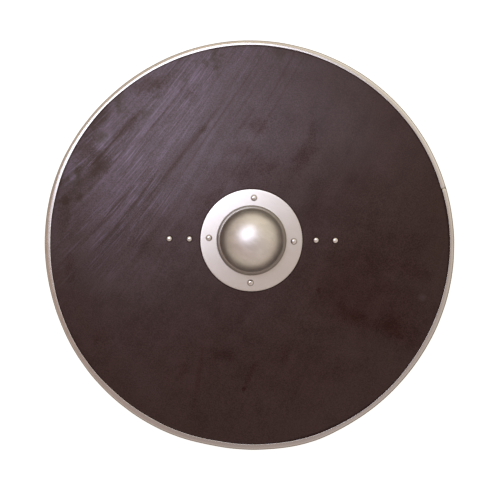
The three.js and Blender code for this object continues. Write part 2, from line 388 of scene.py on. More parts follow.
# Where each region of the board begins and where it is full: across and along the strokes, outwards from the
# board's middle, outwards from the boss or a rivet, or upwards
UPPER_LEFT_ACROSS = (0.03, 0.24)
UPPER_LEFT_ALONG = (-0.24, -0.04)
FAR_LEFT_ACROSS = (0.10, 0.26)
NEAR_RIM = (0.28, 0.335)
# The next three bound the painted shade: along the rim's inner edge, round the flange's foot and round each
# grip rivet
UNDER_RIM = (367 * MM, 370 * MM)
PAST_FLANGE = (95 * MM, 98 * MM)
PAST_GRIP_RIVET = (5.4 * MM, 8.0 * MM)
PAST_HOLE_WALL = (FIST_HOLE_RADIUS + 0.4 * MM, FIST_HOLE_RADIUS + 0.9 * MM)
ABOVE_BACK = (BOARD_BACK + 1 * MM, BOARD_BACK + 4 * MM)

# The varnish's weight: its even part, the share of it that the back has, and what each layer adds. Where
# there are two values, the first goes for the whole board and the second comes on top at the upper left.
VARNISH_EVEN = 0.585
VARNISH_ON_BACK = 0.4
BAND_WEIGHTS = (0.15, 0.75)
STREAK_WEIGHTS = (0.10, 0.67)
SPECKLE_WEIGHTS = (0.38, 0.12)
DARK_LINE_WEIGHTS = (0.05, 0.30)
BLOTCH_WEIGHTS = (0.2, 0.5)
# How much painted violet sheen goes into the stain's colour: a little all over, and much more at the upper
# left
PAINTED_SHEEN_WEIGHTS = (0.08, 0.80)
WISP_WEIGHT = 0.58
MOTTLE_WEIGHT = 0.55
BLOTCH_LOSS = 0.62
PIT_LOSS = 0.4
# How much the painted shade thins the varnish
SHADE_VARNISH_LOSS = 0.45

# How rough each surface is before its marks are added
BOARD_ROUGHNESS = 0.36
GRIP_ROUGHNESS = 0.55
RIM_ROUGHNESS = 0.22
BOSS_ROUGHNESS = 0.262
RIVET_ROUGHNESS = 0.22

# The board's and the grip's colours. The board's violet and olive are painted light, and its shade-and-pits
# colour serves painted shade and real pits.
STAIN_DARK = (0.0075, 0.0020, 0.0014)
STAIN_LIGHT = (0.0195, 0.0070, 0.0058)
PAINTED_SHEEN_VIOLET = (0.034, 0.0070, 0.038)
PAINTED_LIT_OLIVE = (0.011, 0.0105, 0.0035)
STAIN_BLOTCH = (0.012, 0.0095, 0.0028)
# The colour of the painted shade and of the real pits
BOARD_SHADE_AND_PITS = (0.002, 0.001, 0.001)
LAYER_DARK = (0.055, 0.028, 0.016)
LAYER_LIGHT = (0.13, 0.075, 0.042)
GRIP_DARK = (0.06, 0.026, 0.015)
GRIP_LIGHT = (0.15, 0.072, 0.04)
GRIP_RUBBED = (0.05, 0.022, 0.014)

# A mark in the varnish fades out between these shares of its half size. Its edge is ragged, but less so where
# its half length is more than this many mm.
MARK_EDGE = (0.2, 1.1)
RAGGED_SIZE = 26

# Marks where the varnish is thicker or thinner: the middle in mm, the turn in degrees, half the length and
# half the width in mm, and the change of the varnish's weight
VARNISH_MARKS = (
    (230, 235, -45, 190, 110, 0.26),
    (215, -100, -25, 170, 100, -0.32),
    (10, -220, 0, 190, 110, -0.08),
    (200, 165, -20, 80, 45, 0.08),
    (90, 338, -8, 80, 18, 0.16),
    (35, 128, 0, 130, 50, -0.22),
    (-165, 25, 30, 150, 62, -0.20),
    (-182, 140, 52, 36, 14, -0.20),
    (120, 60, 60, 80, 42, -0.12),
    (-312, 70, 75, 130, 40, -0.13),
    (245, 0, 0, 130, 60, -0.14),
    (-75, 115, 45, 60, 40, -0.12),
    (-98, 0, 90, 40, 26, -0.14),
    (20, 219, 20, 30, 20, -0.26),
    (-18, 178, 20, 34, 16, -0.20),
    (100, -230, 0, 130, 60, -0.10),
    (-304, 184, 62, 44, 20, -0.42),
    (-118, 176, 52, 170, 6, -0.32),
    (-8, 230, 55, 52, 5, -0.20),
    (-182, 59, 54, 46, 5, -0.15),
    (-84, 213, 20, 13, 11, -0.22),
    (-182, 299, 22, 42, 18, -0.42),
    (-226, 221, 47, 48, 11, -0.36),
    (-280, 232, 52, 40, 14, -0.38),
    (-277, 153, 70, 30, 24, -0.34),
    (-316, 88, 60, 12, 10, -0.30),
    (-344, 56, 80, 62, 16, -0.25),
    (-110, 278, 45, 16, 12, -0.20),
    (-64, 93, 50, 42, 12, -0.18),
    (29, 144, 0, 26, 12, -0.12),
    (-268, 196, 60, 26, 9, 0.30),
    (-325, 125, 60, 16, 12, 0.32),
    (-92, 311, 41, 34, 9, 0.16),
    (103, 168, 60, 40, 24, -0.26),
    (115, 211, 85, 32, 9, -0.16),
    (186, -130, -15, 44, 22, -0.20),
    (261, -157, -30, 36, 20, -0.22),
    (302, -46, -20, 48, 26, -0.22),
    (285, -160, -50, 60, 26, -0.16),
    (-195, -255, -40, 80, 36, 0.14),
    (-255, -165, -50, 80, 40, 0.10),
    (321, -97, 0, 10, 9, 0.50),
    (128, -83, 0, 7, 6, -0.30),
    (-94, -241, 81, 80, 7, -0.22),
    (-45, -204, 0, 32, 14, -0.22),
    (1, -241, 68, 34, 7, -0.24),
    (-10, -267, 0, 5, 5, -0.60),
    (66, -204, 80, 22, 10, -0.18),
    (-124, -232, 75, 26, 14, -0.18),
    (-333, -46, 90, 34, 15, -0.20),
    (-272, -167, 0, 24, 20, -0.18),
)


def vector_math(operation, first, second, output="Vector"):
    """One Vector Math node between a link and a link or a constant."""
    return first.node("ShaderNodeVectorMath", {0: first, 1: second}, {"operation": operation}, output)


def distance_from_axis(place, x, y):
    """The distance in plan from an upright axis."""
    in_plan = vector_math("MULTIPLY", place, (1, 1, 0))
    return vector_math("DISTANCE", in_plan, (x, y, 0), "Value")


def stained_board():
    """Dark red-brown stain under a thin varnish that was laid on with a brush: long streaks that fan out a
    little, fine bright wisps and a few dark lines at the upper left, mottled patches near the rim, and small
    pits. The back is plainer and has less varnish. Painted into the colour are a violet sheen and a lighter
    olive at the upper left, and painted shade along the rim's inner edge, round the flange's foot and round
    each grip rivet."""
    material, shader, place = new_material("stained_board")
    turned_place = place.mapped(turn=BRUSH_ANGLE)
    along = turned_place.coordinate("X")
    across = turned_place.coordinate("Y")
    fan = along * across.math("ABSOLUTE", across) * BRUSH_FAN
    fanned = across * (1 + fan) + place.noise(5.0, detail=1.0) * BRUSH_SWAY
    brushed = along.node("ShaderNodeCombineXYZ", {"X": along, "Y": fanned, "Z": 0.0})
    from_middle = distance_from_axis(place, 0, 0)
    from_boss = distance_from_axis(place, BOSS_X, BOSS_Y)

    on_front = place.coordinate("Z").between(*ABOVE_BACK)
    upper_left = across.between(*UPPER_LEFT_ACROSS) * along.between(*UPPER_LEFT_ALONG) * on_front
    far_left = across.between(*FAR_LEFT_ACROSS) * on_front
    near_rim = from_middle.between(*NEAR_RIM) * on_front

    def strokes(size, detail, roughness=0.5, start=(0, 0, 0)):
        """Noise drawn out along the brush strokes, in lumps of that length and width."""
        return brushed.mapped(stretch=(*size, 1), centre=start).noise(1.0, detail, roughness)

    def by_region(weights):
        """The first weight all over, and the second on top of it at the upper left."""
        everywhere, extra = weights
        return everywhere + extra * upper_left

    bands = strokes(BAND_SIZE, 2.0)
    streaks = strokes(STREAK_SIZE, 3.0, roughness=0.6)
    wisps = strokes(WISP_SIZE, 2.0).between(0.50, 0.72)
    dark_lines = strokes(DARK_LINE_SIZE, 0.0, start=DARK_LINE_START).between(0.67, 0.77)
    patches = place.noise(9, detail=2.0)
    mottles = place.noise(24, detail=5.0, roughness=0.65)
    speckle = place.noise(520, detail=0.0)
    pits = place.noise(170, detail=1.0).between(0.76, 0.82)
    wisp_field = patches.between(0.38, 0.58) * (0.35 * upper_left + 0.65 * far_left)
    blotches = mottles.between(0.50, 0.64) * near_rim * by_region(BLOTCH_WEIGHTS)
    # Painted shade: a dark line along the rim's inner edge, a ring round the flange's foot and a ring round
    # each grip rivet. It darkens the stain and thins the varnish.
    painted_shade = from_middle.between(*UNDER_RIM) + (1 - from_boss.between(*PAST_FLANGE))
    for rivet_x, rivet_y in grip_rivet_places:
        from_rivet = distance_from_axis(place, rivet_x, rivet_y)
        painted_shade = painted_shade + (1 - from_rivet.between(*PAST_GRIP_RIVET)) * 0.8
    painted_shade = painted_shade * on_front

    varnish = (
        VARNISH_EVEN
        + (bands - 0.5) * by_region(BAND_WEIGHTS)
        + (streaks - 0.5) * by_region(STREAK_WEIGHTS)
        + wisps * wisp_field * WISP_WEIGHT
        - dark_lines * by_region(DARK_LINE_WEIGHTS)
        - blotches * BLOTCH_LOSS
        + (mottles - 0.5) * MOTTLE_WEIGHT
        + (speckle - 0.5) * by_region(SPECKLE_WEIGHTS)
        - pits * PIT_LOSS
        - painted_shade * SHADE_VARNISH_LOSS
    )
    ragged = (mottles - 0.5) * 1.6 + (speckle - 0.5) * 0.6
    marks = 0.0
    for x, y, turn, half_length, half_width, change in VARNISH_MARKS:
        mark = place.mapped(turn, (half_length * MM, half_width * MM, 1), (x * MM, y * MM, 0))
        raggedness = ragged * min(1, RAGGED_SIZE / half_length)
        from_mark = vector_math("LENGTH", mark, (0, 0, 0), "Value") + raggedness
        marks = (1 - from_mark.between(*MARK_EDGE)) * change + marks
    varnish = (varnish + marks * on_front) * (VARNISH_ON_BACK + (1 - VARNISH_ON_BACK) * on_front)

    tone = bands * 0.2 + mottles * 0.3 + speckle * 0.5
    colour = tone.between(0.32, 0.68).blend(STAIN_DARK, STAIN_LIGHT)
    # Painted sheen: violet laid into the stain where the varnish is thick, mostly at the upper left where the
    # lamp's sheen falls
    painted_sheen = varnish.between(0.50, 1.05) * by_region(PAINTED_SHEEN_WEIGHTS)
    colour = painted_sheen.blend(colour, PAINTED_SHEEN_VIOLET)
    # Painted light: at the upper left, where the lamp's sheen falls, places of thin varnish are lifted to a
    # lighter olive
    painted_lit_olive = (1 - varnish.between(0.05, 0.45)) * upper_left * 0.9
    colour = painted_lit_olive.blend(colour, PAINTED_LIT_OLIVE)
    colour = blotches.blend(colour, STAIN_BLOTCH)
    # Painted shade and the real pits darken the stain
    colour = (painted_shade * 0.6 + pits * 0.6).blend(colour, BOARD_SHADE_AND_PITS)

    layers = place.node(
        "ShaderNodeTexWave",
        {"Vector": place, "Scale": 55.0, "Distortion": 0.6, "Detail": 2.0, "Detail Scale": 40.0},
        {"wave_type": "BANDS", "bands_direction": "Z"},
    )
    cut_edge = layers.between(0.3, 0.7).blend(LAYER_DARK, LAYER_LIGHT)
    wall = 1 - from_boss.between(*PAST_HOLE_WALL)
    colour = wall.blend(colour, cut_edge)
    varnish = varnish * (1 - wall)

    roughness = BOARD_ROUGHNESS + (streaks - 0.5) * 0.08 + (mottles - 0.5) * 0.10
    height = streaks * 0.4 + bands * 0.5 + mottles * 0.4 - pits * 0.4
    connect(shader, Base_Color=colour, Roughness=roughness, Normal=bump(height, 0.10 * MM))
    connect(shader, Specular_IOR_Level=0.26, Specular_Tint=(1.0, 0.60, 0.58, 1))
    connect(shader, Coat_Weight=varnish, Coat_Roughness=0.33, Coat_IOR=1.46)
    return material


# The steel's colours. The dirt-and-shade colour is real dirt at the rim's joint and painted shade elsewhere.
STEEL = (0.62, 0.592, 0.565)
STEEL_SMUDGE = (0.55, 0.524, 0.498)
STEEL_DIRT_AND_SHADE = (0.16, 0.135, 0.11)
STEEL_FLANGE = (0.60, 0.572, 0.532)
RIM_PAINTED_HIGHLIGHT = (0.66, 0.65, 0.65)
RIM_PAINTED_SHADE = (0.47, 0.45, 0.43)

# The stretches of rim with a painted highlight and with painted shade: the middle of each, how far out it is
# full, and how far it reaches
RIM_HIGHLIGHT_PLACE = (0.266, 0.266)
RIM_HIGHLIGHT_REACH = (0.14, 0.27)
RIM_SHADE_PLACE = (0.17, -0.34)
RIM_SHADE_REACH = (0.2, 0.6)

# Where the parts of the boss begin and where they are full, outwards from its axis or from a rivet
PAST_CROWN = (32 * MM, 52 * MM)
ON_WALL = (57.5 * MM, 60.5 * MM)
PAST_WALL = (64.4 * MM, 66.4 * MM)
IN_CREASE = (62.8 * MM, 63.6 * MM)
PAST_CREASE = (64.2 * MM, 65.2 * MM)
ON_FLANGE = (64 * MM, 67 * MM)
PAST_BOSS_RIVET = (5.2 * MM, 7.0 * MM)


def brushed_steel(place, scale, turn):
    """Fine scratches in one direction and soft clouds, both between 0 and 1."""
    scratches = place.mapped(turn=turn, stretch=(25, 1, 1)).noise(scale, detail=2.0)
    clouds = place.noise(scale / 14, detail=3.0)
    return scratches, clouds


def rim_steel():
    """Satin steel with fine scratches and faint smudges, a painted highlight at the upper right, painted
    shade at the lower right and along the inner lip where the rim meets the board, and a little grime at the
    joint's inner end."""
    material, shader, place = new_material("rim_satin")
    scratches, clouds = brushed_steel(place, 900, 30)
    smudges = place.noise(16, detail=4.0, roughness=0.6)
    colour = smudges.between(0.36, 0.62).blend(STEEL_SMUDGE, STEEL)
    # Painted highlight at the upper right and painted shade at the lower right
    painted_highlight = 1 - distance_from_axis(place, *RIM_HIGHLIGHT_PLACE).between(*RIM_HIGHLIGHT_REACH)
    colour = painted_highlight.blend(colour, RIM_PAINTED_HIGHLIGHT)
    painted_dimming = 1 - distance_from_axis(place, *RIM_SHADE_PLACE).between(*RIM_SHADE_REACH)
    colour = painted_dimming.blend(colour, RIM_PAINTED_SHADE)
    from_middle = distance_from_axis(place, 0, 0)
    # Painted shade: the sides of the inner lip, where the rim meets the board, are darkened. The spot at the
    # joint's inner end is real dirt.
    under_lip = 1 - place.coordinate("Z").between(rim_high.z - 0.7 * MM, rim_high.z - 0.25 * MM)
    lip = under_lip * (1 - from_middle.between(373 * MM, 375 * MM))
    inner_edge = SHIELD_RADIUS - RIM_NOSE_DEPTH - RIM_LAP
    joint_angle = math.radians(RIM_JOINT_ANGLE)
    joint = (inner_edge * math.cos(joint_angle), inner_edge * math.sin(joint_angle))
    at_joint = 1 - distance_from_axis(place, *joint).between(0.8 * MM, 4.5 * MM)
    colour = (at_joint * 0.4 + lip * 0.7).blend(colour, STEEL_DIRT_AND_SHADE)
    roughness = RIM_ROUGHNESS + clouds * 0.05 + scratches * 0.04
    height = scratches * 0.5 + clouds * 0.5
    connect(shader, Base_Color=colour, Roughness=roughness, Metallic=1.0, Normal=bump(height, 0.008 * MM))
    return material


def boss_steel():
    """Satin steel: a crown dulled by rubbing, with smudges and fine scratches across it, a cleaner flange, a
    painted dark reflection on the steep wall, and painted shade in the crease at its foot and round each
    rivet."""
    material, shader, place = new_material("boss_satin")
    scratches, clouds = brushed_steel(place, 700, 48)
    from_axis = distance_from_axis(place, BOSS_X, BOSS_Y)
    crown = 1 - from_axis.between(*PAST_CROWN)
    smudges = place.mapped(turn=-28, stretch=(2.2, 1, 1)).noise(70, detail=3.0, roughness=0.6)
    colour = (smudges.between(0.40, 0.62) * 0.8 + 0.2).blend(STEEL_SMUDGE, STEEL)
    flange = from_axis.between(*ON_FLANGE)
    colour = (flange * 0.8).blend(colour, STEEL_FLANGE)
    wall = from_axis.between(*ON_WALL) * (1 - from_axis.between(*PAST_WALL))
    crease = from_axis.between(*IN_CREASE) * (1 - from_axis.between(*PAST_CREASE))
    # Painted shade: the steep wall darkened for its reflection of the dark board, the crease at its foot, and
    # a ring round each rivet
    painted_shade = wall * 0.62 + crease * 0.25
    for rivet_x, rivet_y in boss_rivet_places:
        from_rivet = distance_from_axis(place, rivet_x, rivet_y)
        painted_shade = painted_shade + (1 - from_rivet.between(*PAST_BOSS_RIVET)) * 0.85
    colour = painted_shade.blend(colour, STEEL_DIRT_AND_SHADE)
    roughness = BOSS_ROUGHNESS + crown * 0.15 + wall * 0.18 + clouds * 0.03 + scratches * 0.02
    roughness = roughness + (smudges - 0.5) * crown * 0.1
    connect(shader, Base_Color=colour, Roughness=roughness, Metallic=1.0)
    return material


def rivet_steel():
    """Hammered and polished steel, with painted shade at the foot of each head."""
    material, shader, place = new_material("rivet_satin")
    scratches, clouds = brushed_steel(place, 1500, 40)
    height_above = place.coordinate("Z")
    colour = clouds.between(0.35, 0.65).blend(STEEL_SMUDGE, STEEL)
    # Painted shade: a dark ring at the foot of each head, where it meets the flange or the board
    for level, places in rivet_seats.items():
        below = 1 - height_above.between(level + 0.3 * MM, level + 2.2 * MM)
        foot = height_above.between(level - 0.4 * MM, level) * below
        for rivet_x, rivet_y in places:
            here = 1 - distance_from_axis(place, rivet_x, rivet_y).between(7 * MM, 8 * MM)
            colour = (foot * here * 0.9).blend(colour, STEEL_DIRT_AND_SHADE)
    roughness = RIVET_ROUGHNESS + clouds * 0.06 + scratches * 0.03
    connect(shader, Base_Color=colour, Roughness=roughness, Metallic=1.0, Normal=bump(clouds, 0.01 * MM))
    return material


def rubbed_wood():
    """The grip's plain stained wood: grain along its length, darker where the hand has rubbed it."""
    material, shader, place = new_material("rubbed_wood")
    grip_middle = (GRIP_X, GRIP_Y, 0)
    grain = place.mapped(GRIP_TURN, (20, 1, 1), grip_middle).noise(260, detail=4.0, roughness=0.6)
    rings = place.mapped(GRIP_TURN, (12, 1, 1), grip_middle).noise(70, detail=3.0)
    colour = (grain * 0.5 + rings * 0.5).between(0.35, 0.65).blend(GRIP_DARK, GRIP_LIGHT)
    rubbed = 1 - distance_from_axis(place, GRIP_X, GRIP_Y).between(0.035, 0.07)
    colour = (rubbed * 0.6).blend(colour, GRIP_RUBBED)
    roughness = GRIP_ROUGHNESS - rubbed * 0.15 + grain * 0.1
    connect(shader, Base_Color=colour, Roughness=roughness, Normal=bump(grain + rings, 0.15 * MM))
    return material


# Pieces


def make_board(material):
    """The board. Each column runs from the fist hole out across the front, round the edge, back across the
    back and up the hole's wall; a point on a face is a straight blend of the hole's circle and the outline.
    Between the boss and the rim the front sinks by a hair and rolls a little."""
    columns = 480
    front_rows = 131
    back_rows = 41
    wall_rows = 5
    nose_steps = 10
    angle = np.linspace(0, 360, columns, endpoint=False)
    turn = np.radians(angle)
    direction = np.stack([np.cos(turn), np.sin(turn)], -1)
    hole = np.array([BOSS_X, BOSS_Y]) + FIST_HOLE_RADIUS * direction
    middle = (BOARD_FRONT + BOARD_BACK) / 2
    half = (BOARD_FRONT - BOARD_BACK) / 2
    nose_start = SHIELD_RADIUS - RIM_NOSE_DEPTH
    outline = nose_start + edge_bump(angle)

    def face(shares, inset):
        """Points across a face: shares go from 0 at the hole to 1 at the edge."""
        inner = hole + inset * direction
        outer = outline[:, None] * direction
        return inner * (1 - shares[:, None, None]) + outer * shares[:, None, None]

    def with_height(plan, height):
        return np.concatenate([plan, np.broadcast_to(height, plan.shape[:2])[..., None]], -1)

    front_plan = face(np.linspace(0, 1, front_rows), BOARD_CHAMFER)
    x, y = front_plan[..., 0], front_plan[..., 1]
    from_boss = np.hypot(x - BOSS_X, y - BOSS_Y)
    from_middle = np.hypot(x, y)
    free = smooth_step(*ROLL_PAST_BOSS, from_boss) * (1 - smooth_step(*ROLL_BEFORE_RIM, from_middle))
    roll = uneven("front roll", x, y) + uneven("front ripple", x, y)
    front = with_height(front_plan, BOARD_FRONT + free * (roll - FRONT_SINK))

    nose_depth = RIM_NOSE_DEPTH - RIM_STEEL - SEAT_GAP
    nose = arc(0, middle, nose_depth, half, 90, -90, nose_steps)[1:-1]
    nose_plan = (outline[None, :] + nose[:, 0:1])[..., None] * direction
    edge = with_height(nose_plan, nose[:, 1:2])
    back = with_height(face(np.linspace(1, 0, back_rows), BOARD_CHAMFER), np.array(BOARD_BACK))
    wall_heights = np.linspace(BOARD_BACK + BOARD_CHAMFER, BOARD_FRONT - BOARD_CHAMFER, wall_rows)[:, None]
    wall_plan = np.broadcast_to(hole, (wall_rows, columns, 2))
    wall = with_height(wall_plan, wall_heights)
    piece = make_piece("board_wood", np.concatenate([front, edge, back, wall]), material, wrap_rows=True)
    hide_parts("board")


def make_rim(material):
    """The rim: a C-shaped section with rounded lips carried round the outline from one side of the joint to
    the other. Its outside is crowned: half its height is the square root of one less the cube of the share of
    the way out to the nose. Both laps waver in width, and the back one widens a little along the way."""
    columns = 420
    outside_steps = 20
    inside_steps = 12
    lap_steps = 3
    lip_steps = 6
    half_gap = math.degrees(RIM_JOINT_GAP / 2 / SHIELD_RADIUS)
    angle = np.linspace(RIM_JOINT_ANGLE + half_gap, RIM_JOINT_ANGLE + 360 - half_gap, columns)
    turn = np.radians(angle)
    middle = (rim_low.z + rim_high.z) / 2
    outer = (rim_high.z - rim_low.z) / 2
    inner = outer - RIM_STEEL
    lip = RIM_STEEL / 2
    start = SHIELD_RADIUS - RIM_NOSE_DEPTH
    lap = start - RIM_LAP
    crown_start = SHIELD_RADIUS - RIM_CROWN_DEPTH

    def crowned(nearest, farthest, half_height, steps):
        """Half of a crowned outline, from its top out to the nose's tip."""
        out = np.sin(np.linspace(0, math.pi / 2, steps + 1))
        return np.stack([nearest + (farthest - nearest) * out, half_height * np.sqrt(1 - out**3)], -1)

    outside = crowned(crown_start, SHIELD_RADIUS, outer, outside_steps)
    inside = crowned(crown_start + RIM_STEEL, SHIELD_RADIUS - RIM_STEEL, inner, inside_steps)
    mirrored = np.array([1, -1])
    section = np.concatenate([
        line((lap + lip, outer), (crown_start, outer), lap_steps),
        outside[:-1],
        outside[::-1] * mirrored,
        line((crown_start, -outer), (lap + lip, -outer), lap_steps)[1:],
        arc(lap + lip, -outer + lip, lip, lip, 270, 90, lip_steps)[:-1],
        line((lap + lip, -inner), (crown_start, -inner), lap_steps),
        inside[:-1] * mirrored,
        inside[::-1],
        line((crown_start, inner), (lap + lip, inner), lap_steps)[1:],
        arc(lap + lip, outer - lip, lip, lip, 270, 90, lip_steps)[:-1],
    ])
    along = ((angle - RIM_JOINT_ANGLE) % 360) / 360
    front_shift = MM * np.interp(along, np.linspace(0, 1, len(FRONT_LAP_EDGE)), FRONT_LAP_EDGE)
    back_shift = RIM_LAP_DRIFT * (0.5 - along)
    waver = uneven("lap waver", turn * SHIELD_RADIUS, np.zeros_like(turn))
    lap_shift = np.where(section[:, 1:2] > 0, front_shift, back_shift) + waver
    on_lap = np.clip((start - section[:, 0]) / RIM_LAP, 0, 1)[:, None]
    dents = uneven("rim dents", turn * SHIELD_RADIUS, np.zeros_like(turn))
    wear = np.clip(RIM_NOSE_WEAR - dents, 0, None)
    on_nose = smooth_step(start, SHIELD_RADIUS, section[:, 0])[:, None]
    radius = section[:, 0:1] + edge_bump(angle % 360) + on_lap * lap_shift - on_nose * wear
    height = np.broadcast_to(middle + section[:, 1:2], radius.shape)
    points = np.stack([radius * np.cos(turn), radius * np.sin(turn), height], -1)
    piece = make_piece("rim_channel", points, material, wrap_rows=True, wrap_columns=False, cap_ends=True)
    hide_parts("rim")


def wall_profile(depth, steps):
    """The boss's section from crown to foot at a depth into the steel, with z = 0 on the flange's front: part
    of a sphere, a tight shoulder, a straight wall and a fillet, each tangent to the next."""
    bend_steps = 8
    start, tilt = math.radians(SHOULDER_TILT), math.radians(WALL_TILT)
    sphere_z = CROWN_HEIGHT - DOME_RADIUS
    shoulder_x = (DOME_RADIUS - SHOULDER_RADIUS) * math.sin(start)
    shoulder_z = sphere_z + (DOME_RADIUS - SHOULDER_RADIUS) * math.cos(start)
    wall_top = shoulder_z + SHOULDER_RADIUS * math.cos(tilt)
    wall_foot = FOOT_FILLET * (1 - math.cos(tilt))
    reach = (SHOULDER_RADIUS + FOOT_FILLET) * math.sin(tilt) + (wall_top - wall_foot) / math.tan(tilt)
    sphere, bend, fillet = DOME_RADIUS - depth, SHOULDER_RADIUS - depth, FOOT_FILLET + depth
    foot = arc(shoulder_x + reach, FOOT_FILLET, fillet, fillet, 270 - WALL_TILT, 270, bend_steps)
    shoulder = arc(shoulder_x, shoulder_z, bend, bend, 90 - SHOULDER_TILT, 90 - WALL_TILT, bend_steps)
    return np.concatenate([
        arc(0, sphere_z, sphere, sphere, 90, 90 - SHOULDER_TILT, steps)[:-1],
        shoulder[:-1],
        line(shoulder[-1], foot[0], bend_steps),
        foot,
    ])


def make_boss(material):
    """The boss: its wall's front from the crown to the foot, the flange to its rounded edge, and the back of
    both up to the crown again, turned about the boss axis. The dome is very slightly uneven, as pressed steel
    is, and stands a little off the middle of its flange."""
    columns = 240
    outside_steps = 60
    inside_steps = 30
    flange_steps = 16
    lip_steps = 10
    front = boss_low.z + BOSS_STEEL
    lip = BOSS_STEEL / 2
    edge = FLANGE_RADIUS - lip
    outside = wall_profile(0, outside_steps)
    inside = wall_profile(BOSS_STEEL, inside_steps)[::-1]
    section = np.concatenate([
        outside[:-1],
        line(outside[-1], (edge, 0), flange_steps),
        arc(edge, -lip, lip, lip, 90, -90, lip_steps)[:-1],
        line((edge, -BOSS_STEEL), inside[0], flange_steps // 2),
        inside,
    ])
    section[:, 1] += front
    points = turned(section, columns, BOSS_X, BOSS_Y)
    x, y, z = (points[..., k] for k in range(3))
    unevenness = uneven("dome", x - BOSS_X + z, y - BOSS_Y - z)
    on_dome = smooth_step(front + 4 * MM, front + 20 * MM, z)
    outward = np.stack([x - BOSS_X, y - BOSS_Y, z - front], -1) / DOME_RADIUS
    points = points + (unevenness * on_dome)[..., None] * outward
    off_flange = 1 - smooth_step(66 * MM, 78 * MM, np.broadcast_to(section[:, 0:1], x.shape))
    points[..., :2] += off_flange[..., None] * DOME_SHIFT
    points[0] = points[0].mean(0)
    points[-1] = points[-1].mean(0)
    piece = make_piece("boss_shell", points, material)
    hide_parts("boss")


def make_rivet(node, material, seed):
    """A rivet: a domed head with a small rounded edge, a shank and a low tail, turned about its own axis.
    Waves of a tenth of a millimetre stand for the hammer's marks on its head and its tail."""
    columns = 48
    crown_steps = 14
    tail_steps = 8
    low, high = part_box(node)
    centre_x, centre_y = (low.x + high.x) / 2, (low.y + high.y) / 2
    head_radius = (high.x - low.x) / 2
    seat = high.z - RIVET_HEAD_HEIGHT
    tail_top = low.z + RIVET_TAIL_HEIGHT
    crown = arc(0, 0, 1, 1, 90, 6, crown_steps)
    crown_height = seat + RIVET_HEAD_EDGE + (RIVET_HEAD_HEIGHT - RIVET_HEAD_EDGE) * crown[:, 1]
    head = np.stack([head_radius * crown[:, 0], crown_height], -1)
    tail = arc(0, tail_top, RIVET_TAIL_RADIUS, RIVET_TAIL_HEIGHT, 0, -90, tail_steps)
    section = np.concatenate([
        head,
        [(head_radius, seat + 0.15 * MM), (head_radius - 0.2 * MM, seat)],
        line((RIVET_SHANK_RADIUS, seat), (RIVET_SHANK_RADIUS, tail_top), 2),
        [(RIVET_SHANK_RADIUS, tail_top)],
        tail,
    ])
    points = turned(section, columns, centre_x, centre_y)
    x, y = points[..., 0] - centre_x, points[..., 1] - centre_y
    hammered = RIVET_HAMMERING * waves(x, y, RIVET_HAMMER_MARK, seed, count=6)
    is_head = smooth_step(seat + 0.5 * MM, seat + 1.5 * MM, points[..., 2])
    is_tail = 1 - smooth_step(low.z + 0.4 * MM, tail_top, points[..., 2])
    points[..., 2] += hammered * (is_head - is_tail) - RIVET_HAMMERING * is_head
    points[0] = points[0].mean(0)
    points[-1] = points[-1].mean(0)
    piece = make_piece(node + "_steel", points, material)
    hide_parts(node)


def make_grip(material):
    """The grip: rounded-rectangle sections along its length. The underside drops from the thin ends to the
    hand part by a smooth step, the ends are rounded in plan, and the long edges are rounded over."""
    end_stations = 14
    middle_stations = 90
    corner_steps = 6
    hair = 0.01 * MM
    thickness = grip_high.z - grip_low.z
    half_hand = GRIP_HAND_LENGTH / 2
    half_length = GRIP_LENGTH / 2
    corner_start = half_length - GRIP_CORNER_RADIUS
    ends = half_length - GRIP_CORNER_RADIUS * (1 - np.sin(np.linspace(0, math.pi / 2, end_stations)))
    inner_stations = np.linspace(0, corner_start, middle_stations, endpoint=False)
    right = np.concatenate([inner_stations, ends])
    station = np.concatenate([-right[:0:-1], right])
    reach = np.abs(station)
    underside = (thickness - GRIP_END_THICKNESS) * smooth_step(half_hand, half_hand + GRIP_RAMP_LENGTH, reach)
    past = np.clip(reach - corner_start, 0, GRIP_CORNER_RADIUS)
    half_width = GRIP_WIDTH / 2 - GRIP_CORNER_RADIUS + np.sqrt(GRIP_CORNER_RADIUS**2 - past**2)

    def quarter(start, radius):
        """One rounded corner as offsets from the corner of the rectangle, for a circle of that radius."""
        return arc(0, 0, radius, radius, start, start + 90, corner_steps) - radius * np.sign(
            np.array([math.cos(math.radians(start + 45)), math.sin(math.radians(start + 45))])
        )

    offsets = np.concatenate([
        quarter(0, GRIP_TOP_ROUND),
        quarter(90, GRIP_TOP_ROUND),
        quarter(180, GRIP_LOW_ROUND),
        quarter(270, GRIP_LOW_ROUND),
    ])
    side_y = np.repeat([1, -1, -1, 1], corner_steps + 1)
    side_z = np.repeat([1, 1, 0, 0], corner_steps + 1)
    across = side_y[None, :] * half_width[:, None] + offsets[None, :, 0]
    height = np.where(side_z[None, :] == 1, thickness, underside[:, None]) + offsets[None, :, 1]
    along = np.broadcast_to(station[:, None], across.shape)
    wear = uneven("grip wear", along, across) * (1 - side_z[None, :])
    flat = (np.abs(offsets[None, :, 1]) < hair) & (reach[:, None] < half_hand)
    height = height + np.where(flat, 0, np.abs(wear))
    turn = math.radians(GRIP_TURN)
    x = GRIP_X + along * math.cos(turn) - across * math.sin(turn)
    y = GRIP_Y + along * math.sin(turn) + across * math.cos(turn)
    points = np.stack([x, y, grip_low.z + height], -1).transpose(1, 0, 2)
    piece = make_piece("grip_batten", points, material, wrap_rows=True, wrap_columns=False, cap_ends=True)
    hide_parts("grip")


# Camera, floor and light


